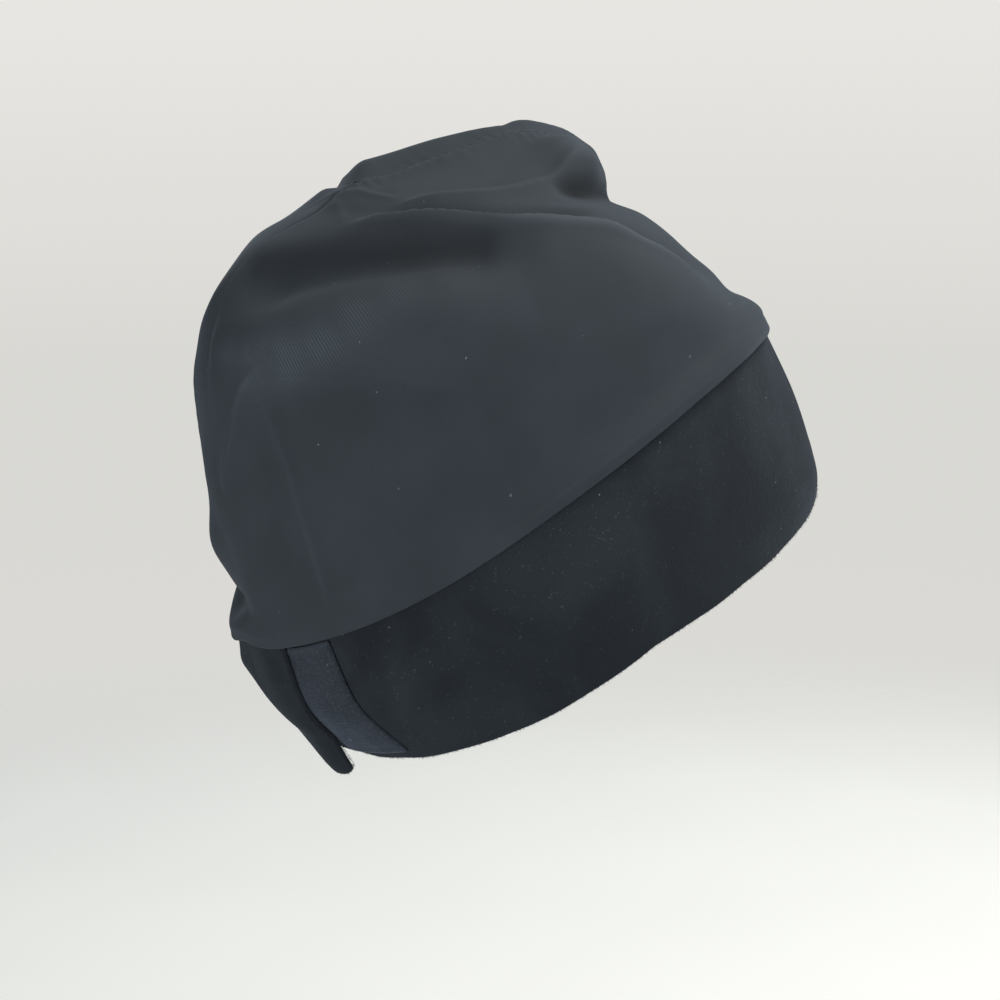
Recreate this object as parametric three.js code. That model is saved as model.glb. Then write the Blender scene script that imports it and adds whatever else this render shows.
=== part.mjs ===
// Wig grip cap: a knit crown of two sewn panels on a wide velvet grip band, which closes at the
// back with a hook-and-loop fastener. It is modelled in the shape it has when worn.
// Millimetres, +Z up. The front faces -Y and the wearer's right side is -X. The origin lies on
// the upright middle axis of the head opening, at the height of the brow.
import * as THREE from 'three';

// Thicknesses and gaps
const CLOTH = 1.2;
const BAND_CLOTH = 2.2;
const PATCH_CLOTH = 1;
const GAP = 0.3;
const SEAM_GAP = 0.4;

// The columns of the two tables of loops. Each loop is an oval: where it crosses the front, the
// sides and the back, its half-width, and how far its slope is bent out of even.
const LOOP_SIZES = ['frontY', 'frontZ', 'sideY', 'sideZ', 'backY', 'backZ', 'width', 'bend'];
const LOOP_COLUMNS = ['name', ...LOOP_SIZES];

// Loops of the band, from its lower edge to its upper edge
const BAND_LOOPS = namedRows(LOOP_COLUMNS, [
  ['lower edge', -104, 5.5, 0, -31.2, 68, -74.5, 79, 1.4],
  ['brow', -103, 13, 1, -17.5, 77.5, -66, 79, 2],
  ['middle', -92.5, 37, 3, 4, 87.2, -54, 77.5, 3],
  ['upper edge', -77, 62, 5, 35, 94.8, -30, 73, 4],
]);

// Loops of the crown, from its hem to its seam on top
const CROWN_LOOPS = namedRows(LOOP_COLUMNS, [
  ['hem', -79.5, 57, 5, 30, 95.5, -34, 76.5, 8],
  ['over the band', -77.5, 61, 5, 36, 89.5, -25, 77.5, 8],
  ['above the band', -73, 64, 5, 44, 99.5, -16, 76, 6],
  ['temple', -68, 67, 6, 56, 108, 6, 76, 3],
  ['widest', -62, 69.5, 8, 68, 110.5, 30, 75, 0],
  ['upper side', -57, 74, 10, 79, 112, 52, 71, 0],
  ['turning in', -51, 79, 12, 88, 105.5, 71, 65, 0],
  ['under the shoulder', -44, 86, 14, 95, 94, 84, 56, 0],
  ['shoulder', -37, 93, 16, 99, 83, 92, 46, 0],
  ['valley', -30, 98, 18, 101, 75, 98, 36, 0],
  ['second fold', -28, 104, 19, 105, 71, 101, 27, 1],
  ['crest', -24, 109, 20, 110, 67.5, 104, 17, 4],
  ['under the seam', -19, 114, 20, 114.5, 64.5, 105.5, 8, 5.5],
  ['seam', -14, 118, 20, 118, 62, 107.5, 0, 6],
]);

// Folds of each panel. A fold runs from one point to another and stands out by its height, or in
// where that is negative. Sharp 1 is a crease and 2 a roll, and fade is how soon its ends die out.
const FOLD_COLUMNS = ['name', 'from', 'to', 'width', 'height', 'sharp', 'fade'];
const RIGHT_FOLDS = namedRows(FOLD_COLUMNS, [
  ['shoulder ridge', [-27, 68, 96], [-46, 28, 98], 6, 5, 1.3, 0.2],
  ['shoulder ridge, front', [-46, 28, 98], [-54, -26, 86], 6, 5, 1.3, 0.2],
  ['ledge behind the ridge', [-24, 62, 101], [-36, 8, 102], 6, -4, 2, 0.2],
  ['second ridge', [-24, 54, 104], [-28, 20, 106], 5, 2, 1.5, 0.3],
  ['second ridge, front', [-28, 20, 106], [-15, -8, 112], 5, 3, 1.5, 0.3],
  ['hollow under the shoulder', [-20, 102, 74], [-56, 40, 90], 13, -5, 2, 0.3],
  ['slanting break, back', [-8, 111, 56], [-34, 94, 72], 8, 1.5, 1.5, 0.4],
  ['slanting break', [-34, 94, 72], [-60, 48, 84], 8, 1.5, 1.5, 0.4],
  ['slanting break, front', [-60, 48, 84], [-54, 22, 95], 8, 1.5, 1.5, 0.4],
  ['level crease', [-26, 106, 52], [-60, 74, 52], 7, 1.5, 1.5, 0.5],
  ['back crease', [-25, 107, 50], [-9, 109, 10], 5, 2.5, 1.5, 0.4],
  ['side crease', [-27, 105, 42], [-38, 90, -16], 6, 2, 1.5, 0.4],
  ['hollow between the creases', [-21, 107, 28], [-24, 99, -14], 9, -2.5, 2, 0.5],
  ['hollow by the forehead', [-50, -8, 90], [-48, -34, 80], 8, -2.5, 2, 0.5],
]);
const LEFT_FOLDS = namedRows(FOLD_COLUMNS, [
  ['roll beside the seam', [12, 60, 108], [12, -8, 118], 11, 7.2, 2, 0.14],
  ['puff at the front', [12, -10, 116], [13, -36, 101], 15, 15, 2, 0.7],
]);
const FOLD_CLEAR_OF_SEAM = 6;

// The closure at the back: where the strap and its patches end, in degrees round from the front,
// plus towards the right, how much of the strap's height the patches take, and by how many
// degrees the top of a patch's first edge leans towards its other edge
const RIGHT_END = 212;
const LEFT_END = -190;
const LOOP_PATCH = { from: 151.6, to: 208, low: 0.3, high: 2.8, lean: 5 };
const HOOK_PATCH = { from: -184, to: -164, low: 0.35, high: 2.6, lean: 0 };
const LIFT_FROM = -116;
const LIFT_TO = -148;
const LIFT = 3 * GAP + 2 * PATCH_CLOTH + BAND_CLOTH;

// The crown's hem laps over the band's upper edge
const LAP_SPARE = 0.4;
const LAP_CLEARANCE = CLOTH + GAP + LAP_SPARE;
const LAP_FADE = 8;
const CLOSURE_CLEAR = 4;
const CLOSURE_FADE = 8.4;
const LAP_ACCURACY = 0.001;

// Over how many degrees the hem comes down beside the strap's end
const HEM_FALL = 16;

// The closure draws the hem and the band's upper edge down at the back, and most on the left:
// how far at the middle of the back and beside it, where that begins and where it is full, and
// between which loops of the crown and of the band it fades out
const BACK_DIP = 1.5;
const BACK_DIP_FROM = 150;
const SIDE_DIP = 9;
const SIDE_DIP_FROM = 120;
const SIDE_DIP_FULL = 160;
const CROWN_DIP_FULL = 1.2;
const CROWN_DIP_GONE = 3;
const BAND_DIP_FROM = 1.5;

// The left end's lower corner, which curls down and away
const CURL_FROM = -152;
const CURL_TOP = 1.2;
const CURL_OUT = 1.5;
const CURL_DOWN = 4;

// How finely the cloth is divided
const RIGHT_COLUMNS = 42;
const LEFT_COLUMNS = 28;
const HEM_PLACES = [0, 0.3, 0.6, 0.9, 1.2, 1.6];
const STEPS_PER_LOOP = 2;
const BAND_COLUMNS = 64;
const BAND_PLACES = [0, 0.07, 0.35, 0.9, 1.5, 1.8, 2.1, 2.4, 2.7, 2.94, 3];
const PATCH_COLUMNS = 10;
const PATCH_EDGE = 0.1;
const EDGE_FULLNESS = 0.5;

// Colours and roughness of the knit, the velvet and the two patches
const KNIT = { color: 0x33393e, roughness: 0.8 };
const VELVET = { color: 0x24292d, roughness: 1 };
const LOOP_PILE = { color: 0x2c3338, roughness: 0.9 };
const HOOK_TAPE = { color: 0x202428, roughness: 0.9 };

const DEGREE = Math.PI / 180;

function namedRows(columns, rows) {
  return rows.map((row) => Object.fromEntries(columns.map((column, i) => [column, row[i]])));
}

function smoothStep(from, to, value) {
  const t = Math.min(Math.max((value - from) / (to - from), 0), 1);
  return t * t * (3 - 2 * t);
}

// One column of a table as a smooth curve through its rows
function smoothSize(table, size, place) {
  const last = table.length - 1;
  const row = Math.min(Math.floor(place), last - 1);
  const t = place - row;
  const before = table[Math.max(row - 1, 0)][size];
  const low = table[row][size];
  const high = table[row + 1][size];
  const after = table[Math.min(row + 2, last)][size];
  const leaving = row === 0 ? high - low : (high - before) / 2;
  const arriving = row === last - 1 ? high - low : (after - low) / 2;
  const even = 3 * t ** 2 - 2 * t ** 3;
  return low + (high - low) * even + leaving * t * (1 - t) ** 2 - arriving * t ** 2 * (1 - t);
}

// The surface of a table of loops, at a place between its rows and a turn round from the front
function surfacePoint(table, place, turn) {
  const loop = {};
  for (const size of LOOP_SIZES) {
    loop[size] = smoothSize(table, size, place);
  }
  const along = Math.cos(turn * DEGREE);
  const across = Math.sin(turn * DEGREE);
  const reach = along >= 0 ? loop.sideY - loop.frontY : loop.backY - loop.sideY;
  const rise = (loop.frontZ - loop.backZ) / 2;
  const dip = (loop.frontZ + loop.backZ) / 2 - loop.sideZ;
  return new THREE.Vector3(
    -loop.width * across,
    loop.sideY - reach * along,
    loop.sideZ + rise * along + dip * along ** 2 + loop.bend * along * (1 - along ** 2),
  );
}

// How far the closure draws the cloth down, at a turn round from the front
function hemDip(turn) {
  const beside = (turn + 540) % 360 - 180;
  if (beside > 0) {
    return BACK_DIP * smoothStep(BACK_DIP_FROM, 180, beside);
  }
  const backwards = smoothStep(SIDE_DIP_FULL, 180, -beside);
  return SIDE_DIP * smoothStep(SIDE_DIP_FROM, SIDE_DIP_FULL, -beside) + (BACK_DIP - SIDE_DIP) * backwards;
}

function bandPoint(place, turn) {
  const point = surfacePoint(BAND_LOOPS, place, turn);
  point.z -= hemDip(turn) * smoothStep(BAND_DIP_FROM, BAND_LOOPS.length - 1, place);
  return point;
}

function crownPoint(place, turn) {
  const point = surfacePoint(CROWN_LOOPS, place, turn);
  point.z -= hemDip(turn) * (1 - smoothStep(CROWN_DIP_FULL, CROWN_DIP_GONE, place));
  return point;
}

// The level way out of the band's upper edge, along which the crown's hem is eased over it
function hemOut(turn) {
  const top = BAND_LOOPS.length - 1;
  const ahead = bandPoint(top, turn + 1).sub(bandPoint(top, turn - 1));
  return new THREE.Vector3(-ahead.y, ahead.x, 0).normalize();
}

// The way out of a grid of points, at each point
function outwards(grid, side) {
  const lastColumn = grid.length - 1;
  const lastRow = grid[0].length - 1;
  return grid.map((column, i) => column.map((point, j) => {
    const round = grid[Math.min(i + 1, lastColumn)][j].clone().sub(grid[Math.max(i - 1, 0)][j]);
    const up = column[Math.min(j + 1, lastRow)].clone().sub(column[Math.max(j - 1, 0)]);
    return up.cross(round).multiplyScalar(side).normalize();
  }));
}

// The same for a panel, whose seam edges keep to the cap's middle plane
function panelOutwards(grid, side) {
  return outwards(grid, side).map((column, i) => column.map((direction, j) => {
    const atSeam = i === 0 || i === grid.length - 1 || j === column.length - 1;
    return atSeam ? direction.setX(0).normalize() : direction;
  }));
}

// How far the folds of a table push a point out
function foldHeight(folds, point) {
  let height = 0;
  for (const fold of folds) {
    const start = new THREE.Vector3(...fold.from);
    const run = new THREE.Vector3(...fold.to).sub(start);
    const share = point.clone().sub(start).dot(run) / run.lengthSq();
    const inside = Math.min(Math.max(share, 0), 1);
    const away = point.distanceTo(start.addScaledVector(run, inside));
    const ends = smoothStep(0, fold.fade, Math.min(share, 1 - share) + fold.fade / 2);
    height += fold.height * ends * Math.exp(-((away / fold.width) ** fold.sharp));
  }
  return height;
}

// A closed wall between an outer and an inner grid of points
function wallGeometry(outer, inner, side) {
  const columns = outer.length;
  const rows = outer[0].length;
  const innerStart = columns * rows;
  const index = (i, j) => i * rows + j;
  const triangles = [];
  const edges = [];
  for (let i = 0; i < columns - 1; i += 1) {
    for (let j = 0; j < rows - 1; j += 1) {
      const corners = [index(i, j), index(i, j + 1), index(i + 1, j + 1), index(i + 1, j)];
      const [a, b, c, d] = corners;
      triangles.push([a, b, c], [a, c, d]);
      const [e, f, g, h] = corners.map((corner) => corner + innerStart);
      triangles.push([e, g, f], [e, h, g]);
    }
    edges.push([index(i + 1, 0), index(i, 0)], [index(i, rows - 1), index(i + 1, rows - 1)]);
  }
  for (let j = 0; j < rows - 1; j += 1) {
    edges.push([index(0, j), index(0, j + 1)], [index(columns - 1, j + 1), index(columns - 1, j)]);
  }
  for (const [a, b] of edges) {
    triangles.push([b, a, a + innerStart], [b, a + innerStart, b + innerStart]);
  }
  const ordered = triangles.map(([a, b, c]) => (side > 0 ? [a, b, c] : [a, c, b]));
  const geometry = new THREE.BufferGeometry();
  geometry.setFromPoints([...outer.flat(), ...inner.flat()]);
  geometry.setIndex(ordered.flat());
  geometry.computeVertexNormals();
  return geometry;
}

function clothMesh(name, geometry, finish) {
  const material = new THREE.MeshStandardMaterial({ ...finish, metalness: 0 });
  const mesh = new THREE.Mesh(geometry, material);
  mesh.name = name;
  return mesh;
}

// How far the strap stands out where its left end passes over the closure
function strapLift(turn) {
  return LIFT * smoothStep(-LIFT_FROM, -LIFT_TO, -turn);
}

// How far the closure under the crown's hem stands out, on both sides of the back
function closureHeight(turn) {
  if (turn < 0) {
    return strapLift(turn);
  }
  const patch = GAP + PATCH_CLOTH;
  const overPatch = smoothStep(LOOP_PATCH.from - HEM_FALL, LOOP_PATCH.from, turn);
  const strapEnd = 360 + LEFT_END;
  return patch * overPatch + (LIFT - patch) * smoothStep(strapEnd - HEM_FALL, strapEnd, turn);
}

// How far the crown stands out at a point to pass over the band and the closure. A point above
// the band's upper edge is pushed out less, until the cloth is clear of it.
function hemHeight(point, turn, direction) {
  const top = BAND_LOOPS.length - 1;
  const above = point.z - bandPoint(top, turn).z;
  let low = 0;
  let high = top;
  while (high - low > LAP_ACCURACY) {
    const middle = (low + high) / 2;
    if (bandPoint(middle, turn).z < point.z) {
      low = middle;
    } else {
      high = middle;
    }
  }
  const clearance = point.clone().sub(bandPoint(high, turn)).dot(direction);
  const lap = Math.max(LAP_CLEARANCE - clearance, 0) * (1 - smoothStep(0, LAP_FADE, above));
  return lap + closureHeight(turn) * (1 - smoothStep(CLOSURE_CLEAR, CLOSURE_FADE, above));
}

// One half of the crown. Side is 1 for the right and -1 for the left.
function crownPanel(name, side, columns, folds) {
  const places = [...HEM_PLACES];
  for (let place = 2; place <= CROWN_LOOPS.length - 1; place += 1 / STEPS_PER_LOOP) {
    places.push(place);
  }
  const plain = [];
  for (let i = 0; i <= columns; i += 1) {
    plain.push(places.map((place) => crownPoint(place, side * 180 * i / columns)));
  }
  const plainOut = panelOutwards(plain, side);
  const outer = plain.map((column, i) => column.map((point, j) => {
    const clear = smoothStep(0, FOLD_CLEAR_OF_SEAM, Math.abs(point.x));
    const turn = side * 180 * i / columns;
    const direction = hemOut(turn);
    const folded = point.clone().addScaledVector(plainOut[i][j], clear * foldHeight(folds, point));
    return folded.addScaledVector(direction, hemHeight(point, turn, direction));
  }));
  const out = panelOutwards(outer, side);
  const inner = outer.map((column, i) => column.map((point, j) => {
    return point.clone().addScaledVector(out[i][j], -CLOTH);
  }));
  const geometry = wallGeometry(outer, inner, side);
  geometry.translate(-side * SEAM_GAP / 2, 0, 0);
  return clothMesh(name, geometry, KNIT);
}

// A piece of cloth that follows the band's surface at a height over it, from one turn to another
function bandWall(places, from, to, columns, lift, thickness, curl, lean = () => 0) {
  const plain = [];
  for (let i = 0; i <= columns; i += 1) {
    const turn = from + (to - from) * i / columns;
    plain.push(places.map((place) => bandPoint(place, turn + lean(i / columns, place))));
  }
  const side = Math.sign(to - from);
  const out = outwards(plain, side);
  const lastPlace = places.length - 1;
  const outer = [];
  const inner = [];
  plain.forEach((column, i) => {
    const turn = from + (to - from) * i / columns;
    const edge = (j) => (j === 0 || j === lastPlace ? (1 - EDGE_FULLNESS) / 2 : 0);
    const lifted = column.map((point, j) => point.clone().addScaledVector(out[i][j], lift(turn)));
    const bent = lifted.map((point, j) => curl(point, turn, places[j]));
    const wall = (depth) => bent.map((point, j) => point.clone().addScaledVector(out[i][j], -depth(j)));
    outer.push(wall((j) => thickness * edge(j)));
    inner.push(wall((j) => thickness * (1 - edge(j))));
  });
  return wallGeometry(outer, inner, side);
}

// The lower corner of the strap's left end hangs down and away from the closure
function strapCurl(point, turn, place) {
  const share = smoothStep(-CURL_FROM, -LEFT_END, -turn) * (1 - smoothStep(0, CURL_TOP, place));
  point.y += CURL_OUT * share;
  point.z -= CURL_DOWN * share;
  return point;
}

function velvetBand() {
  const ends = [RIGHT_END, LEFT_END];
  const geometry = bandWall(BAND_PLACES, ...ends, BAND_COLUMNS, strapLift, BAND_CLOTH, strapCurl);
  return clothMesh('velvet_band', geometry, VELVET);
}

// A patch is divided at the same places as the strap
function patchPlaces({ low, high }) {
  const shared = BAND_PLACES.filter((place) => place > low + PATCH_EDGE && place < high - PATCH_EDGE);
  return [low, ...shared, high];
}

function patchMesh(name, patch, height, finish) {
  const places = patchPlaces(patch);
  const ends = [patch.from, patch.to];
  const lift = () => height;
  const flat = (point) => point;
  const lean = (along, place) => {
    return patch.lean * (1 - along) * (place - patch.low) / (patch.high - patch.low);
  };
  const geometry = bandWall(places, ...ends, PATCH_COLUMNS, lift, PATCH_CLOTH, flat, lean);
  return clothMesh(name, geometry, finish);
}

const cap = new THREE.Group();
cap.add(crownPanel('crown_right_panel', 1, RIGHT_COLUMNS, RIGHT_FOLDS));
cap.add(crownPanel('crown_left_panel', -1, LEFT_COLUMNS, LEFT_FOLDS));
cap.add(velvetBand());
cap.add(patchMesh('loop_patch', LOOP_PATCH, GAP + PATCH_CLOTH, LOOP_PILE));
cap.add(patchMesh('hook_patch', HOOK_PATCH, 2 * (GAP + PATCH_CLOTH), HOOK_TAPE));
export default cap;
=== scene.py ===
"""Wig grip cap: two knit crown panels on a wide velvet grip band that closes at the back."""

import math

import bpy
import numpy as np
from bpy.props import FloatProperty, FloatVectorProperty, IntProperty, PointerProperty
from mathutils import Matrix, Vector


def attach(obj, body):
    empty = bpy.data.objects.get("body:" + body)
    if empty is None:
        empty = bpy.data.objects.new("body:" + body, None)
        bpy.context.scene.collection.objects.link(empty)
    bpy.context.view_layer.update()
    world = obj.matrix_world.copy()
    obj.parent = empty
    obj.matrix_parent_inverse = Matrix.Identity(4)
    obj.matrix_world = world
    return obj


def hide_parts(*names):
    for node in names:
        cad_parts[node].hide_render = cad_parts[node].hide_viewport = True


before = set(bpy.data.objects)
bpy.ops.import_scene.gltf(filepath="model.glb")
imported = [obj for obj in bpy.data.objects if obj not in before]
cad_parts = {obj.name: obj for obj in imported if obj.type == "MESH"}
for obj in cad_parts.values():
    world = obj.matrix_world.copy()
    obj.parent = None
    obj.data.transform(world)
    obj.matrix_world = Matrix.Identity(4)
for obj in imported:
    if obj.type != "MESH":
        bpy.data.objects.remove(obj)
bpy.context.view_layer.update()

bl_info = {
    "name": "Wig grip cap",
    "version": (1, 0, 0),
    "blender": (4, 5, 0),
    "location": "3D View > Sidebar > Grip cap",
    "description": "Builds the knit crown, the velvet band and the closure of a wig grip cap",
    "category": "Object",
}

MM = 0.001

# How many points a curve is worked out at before it is divided evenly
FINE_ROWS = 600
FINE_TURNS = 1600
PATCH_FINE = 300

# The place and the turn at which the band's columns and rows are divided
MIDDLE_PLACE = 1.5
SIDE_TURN = 90

# Loops of the band from its lower edge to its upper edge, in millimetres: where each crosses the
# front, the sides and the back, its half-width, and how far its slope is bent
LOOP_COLUMNS = (
    "name", "front_y", "front_z", "side_y", "side_z", "back_y", "back_z", "width", "bend",
)
BAND_LOOPS = (
    ("lower edge", -104, 5.5, 0, -31.2, 68, -74.5, 79, 1.4),
    ("brow", -103, 13, 1, -17.5, 77.5, -66, 79, 2),
    ("middle", -92.5, 37, 3, 4, 87.2, -54, 77.5, 3),
    ("upper edge", -77, 62, 5, 35, 94.8, -30, 73, 4),
)

# Loops of the crown from its hem to its seam on top
CROWN_LOOPS = (
    ("hem", -79.5, 57, 5, 30, 95.5, -34, 76.5, 8),
    ("over the band", -77.5, 61, 5, 36, 89.5, -25, 77.5, 8),
    ("above the band", -73, 64, 5, 44, 99.5, -16, 76, 6),
    ("temple", -68, 67, 6, 56, 108, 6, 76, 3),
    ("widest", -62, 69.5, 8, 68, 110.5, 30, 75, 0),
    ("upper side", -57, 74, 10, 79, 112, 52, 71, 0),
    ("turning in", -51, 79, 12, 88, 107.5, 72.5, 65, 0),
    ("under the shoulder", -44, 86, 14, 95, 97, 86.5, 56, 0),
    ("shoulder", -37, 93, 16, 99, 84.5, 93.5, 46, 0),
    ("valley", -30, 98, 18, 101, 75, 98, 36, 0),
    ("second fold", -28, 104, 19, 105, 71, 101, 27, 1),
    ("crest", -24, 109, 20, 110, 67.5, 104, 17, 4),
    ("under the seam", -19, 114, 20, 114.5, 64.5, 105.5, 8, 5.5),
    ("seam", -14, 118, 20, 118, 62, 107.5, 0, 6),
)

# Folds of each panel, in millimetres. A fold follows its line and stands out by its height, or in
# where that is negative. Left and right are its widths on either hand of the line, seen from
# outside. Sharp 1 is a crease and 2 a roll, and fade is how soon its ends die out. Light is a
# painted highlight in the knit's colour along it, or painted shade where that is negative.
# The columns are name, line, left, right, height, sharp, fade and light.
RIGHT_FOLDS = (
    ("shoulder ridge", ((-26, 67, 95), (-42, 48, 95), (-56, 25, 95), (-59, 2, 92), (-60, -20, 83)),
     2.4, 5.5, 4.6, 1.2, 0.3, 0.6),
    ("ledge behind the ridge", ((-30, 60, 98), (-38, 40, 98), (-46, 10, 97)),
     4, 3.4, -3.2, 2, 0.35, -0.2),
    ("second ridge", ((-24, 54, 103), (-29, 24, 105), (-25, 6, 109), (-14, -8, 113)),
     2.4, 3.6, 2.4, 1.3, 0.3, 0.3),
    ("hollow under the shoulder", ((-14, 104, 76), (-40, 76, 85), (-60, 38, 90)),
     10, 11, -6.5, 2, 0.3, -0.15),
    ("slanting break", ((6, 111, 56), (-22, 101, 68), (-38, 83, 77), (-52, 64, 81), (-57, 42, 88),
     (-56, 26, 95)), 7, 14, 1.6, 1.6, 0.25, 0.05),
    # Painted shade only: with no height, this row just darkens the knit's colour under the shoulder.
    ("painted shade under the shoulder", ((-4, 101, 84), (-34, 72, 89), (-56, 40, 91)),
     17, 11, 0, 2, 0.14, -0.44),
    # Painted highlight only: with no height, this row just lightens the knit's colour under the
    # break.
    ("painted highlight under the break", ((-14, 109, 54), (-36, 96, 61), (-53, 72, 74)),
     8, 10, 0, 2, 0.4, 0.26),
    ("level crease", ((-25, 107, 52), (-44, 93, 54), (-62, 66, 51)), 9, 3, 2, 1.5, 0.5, 0.1),
    ("back crease", ((-26, 107, 54), (-20, 108, 47), (-14, 109, 35), (-6, 110, 18)),
     3, 2.8, 2.4, 1.3, 0.35, 0.28),
    ("side crease", ((-27, 107, 46), (-33, 101, 27), (-36, 94, 1), (-37, 88, -19)),
     2.8, 3, 2, 1.3, 0.35, 0.24),
    ("hollow between the creases", ((-22, 107, 36), (-23, 103, 10), (-24, 98, -14)),
     8, 8, -3, 2, 0.5, -0.12),
    ("hollow by the forehead", ((-58, 0, 93), (-58, -14, 89), (-48, -34, 80)), 7, 8, -3, 2, 0.5, 0),
    ("slack at the temple", ((-59, 26, 92), (-66, 10, 86), (-71, -6, 77), (-66, -31, 68)),
     9, 11, 1.6, 2, 0.5, 0),
    # Painted shade only: with no height, this row just darkens the knit's colour under the roll.
    ("painted shade under the roll", ((-29, 5, 105), (-20, -15, 105), (-7, -32, 99)),
     8.5, 8.5, 0, 2, 0.2, -0.42),
    ("nose of the roll", ((-4, -7, 118), (-10, -11, 112), (-14, -17, 107)), 9, 10, 5, 2, 0.6, 0.4),
    # Besides its hollow, this row paints strong shade into the knit's colour there.
    ("hollow under the roll", ((-28, 3, 105), (-20, -15, 105), (-7, -31, 100)),
     5, 5.4, -3.2, 2, 0.4, -0.5),
    ("gather 1", ((-3, 64, 104), (-10, 61, 103), (-17, 57, 103)), 1.6, 1.6, 0.6, 1.6, 0.6, 0.2),
    ("gather 2", ((-3, 69, 101), (-10, 71, 98), (-17, 73, 95)), 1.8, 1.8, 0.6, 1.6, 0.6, 0.2),
    ("drag line to the hem", ((-36, 88, -14), (-44, 84, -12), (-56, 70, -2)),
     3, 4, 0.8, 1.6, 0.6, 0),
)
LEFT_FOLDS = (
    ("roll beside the seam", ((12, 59, 109), (12, 30, 114), (12, -8, 118)),
     11, 11, 7.2, 2, 0.22, 0),
    ("puff at the front", ((12, -6, 117), (13, -21, 110), (13, -32, 102)),
     15, 15, 12, 2, 0.74, 0.4),
    # Painted shade only: with no height, this row just darkens the knit's colour at the back
    # shoulder.
    ("painted shade at the back shoulder", ((1, 104, 76), (14, 98, 82), (34, 82, 86), (50, 60, 88)),
     14, 12, 0, 2, 0.14, -0.5),
    ("shoulder ridge", ((24, 64, 98), (44, 40, 98), (55, 14, 97), (52, -22, 88)),
     8, 5, 4.5, 1.5, 0.25, 0.3),
    ("hollow under the shoulder", ((16, 102, 76), (46, 72, 84), (60, 36, 88)),
     12, 12, -4, 2, 0.3, -0.15),
    ("back crease", ((20, 107, 50), (26, 103, 24), (28, 98, -4)), 3, 3, 1, 1.3, 0.35, 0.3),
    ("fullness over the hem", ((12, 106, -4), (30, 98, -10), (48, 86, -12)),
     10, 10, 3.2, 2, 0.5, 0),
    ("side crease", ((50, 86, 50), (62, 60, 30), (70, 34, 24)), 6, 6, 1.6, 1.6, 0.5, 0),
    ("slack at the temple", ((60, 20, 92), (68, -4, 82), (66, -30, 69)), 9, 10, 1.6, 2, 0.5, 0),
    ("gather 1", ((3, 64, 104), (10, 60, 104), (17, 56, 103)), 1.8, 1.6, 0.6, 1.6, 0.6, 0.2),
    ("gather 2", ((3, 67, 101), (10, 70, 98), (17, 73, 95)), 1.8, 1.8, 0.6, 1.6, 0.6, 0.2),
)

# Soft unevenness of the cloths: about how high and how long its waves are, and the number that their
# random draws start from
WAVE_COUNT = 9
KNIT_WAVES = ((0.35, 46, 11), (0.12, 17, 12))
VELVET_WAVES = (0.16, 30, 21)
LOW_EDGE_WAVES = (0.3, 19, 22)
LOW_EDGE_REACH = 5.0
PATCH_WAVES = (0.1, 13, 31)

# The numbers that the random draws of the pile's roots and of its fibres start from
ROOT_DRAWS = 41
FIBRE_DRAWS = 42

# Where the knit is pulled tight under the slanting break, so that its lines show. The columns are
# name, place, strength and radius.
STRETCHED = (
    ("back end", (-14, 109, 57), 0.5, 6),
    ("under the break, back", (-25, 105, 58), 0.9, 7.5),
    ("under the break", (-33, 100, 58), 1, 8),
    ("middle of the break", (-41, 92, 63), 0.7, 7),
    ("towards the side", (-46, 84, 71), 0.45, 7),
    ("at the side", (-51, 72, 79), 0.25, 6),
    ("towards the front", (-54, 57, 86), 0.15, 6),
    ("front end", (-55, 47, 90), 0.08, 6),
)
WEAVE_LEAST = 0.04

# Faint creases in the velvet, and the roll that the closure makes under the hem. Each runs between
# two places on the band, given as degrees round from the front and a place between its loops. The
# columns are name, start, end, width and height.
CREASE_POINTS = 24
CREASE_WAVE = 0.06
BAND_CREASES = (
    ("brow crease", (34, 1.0), (84, 1.15), 2.2, 0.35),
    ("upper brow crease", (42, 1.7), (72, 1.55), 2, 0.3),
    ("temple crease", (78, 0.9), (112, 1.3), 2.4, 0.25),
    ("front crease", (-20, 1.4), (28, 1.2), 2.5, 0.3),
    ("left crease", (-60, 1.2), (-100, 1.5), 2.4, 0.3),
    ("roll under the hem", (-138, 2.5), (-174, 2.5), 5, 2),
)

# How a fold is worked out: the step along its line and over how many steps the line is eased, how
# many of its widths it reaches, how much of the way past its end isn't counted, how near the seam it
# dies out, and below which sharpness it is a crease, whose painted highlight or shade is narrower
# by the share
PATH_STEP = 0.5
EASE_REACH = 9
FOLD_REACH = 3.2
PAST_END_SHARE = 0.7
FOLD_CLEAR_OF_SEAM = 6
PAINTED_LIGHT_SHARE = 0.4
PAINTED_LIGHT_SHARP = 1.4

# The crown's mesh: the turn whose cloth its rows divide, how much closer they lie at the hem, and
# how near its last lines lie to the seam
ROW_TURN = 110
ROW_CROWDING = 1.3
EDGE_TURN = 0.06
EDGE_PLACE = 0.015

# The seam: half the gap between the panels, the groove along it on top and elsewhere, and the
# gathers beside it
SEAM_HALF_GAP = 0.02
GROOVE_DEPTH = 0.6
GROOVE_LEAST = 0.02
GROOVE_WIDTH = 0.9
GROOVE_FROM = 88
GROOVE_FULL = 104
PUCKERS_FROM = 96
PUCKERS_FULL = 106
PUCKER_HEIGHT = 0.2
PUCKER_WIDTH = 4.5
PUCKER_CLEAR = 2.5

# The crown's hem over the band and its closure: over how many degrees it rises to the closure, what
# it leaves free under it, how soon above the band it comes back to the head, the ledge over the
# band's upper edge, and how often the search for the band beside a point halves its way
HEM_FALL = 16
LAP_SPARE = 0.3
LAP_FADE = 8
CLOSURE_CLEAR = 4
CLOSURE_FADE = 12
CLOSURE_TIGHT = 2.5
HEM_LEDGE = 0.5
HALVINGS = 13

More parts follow.
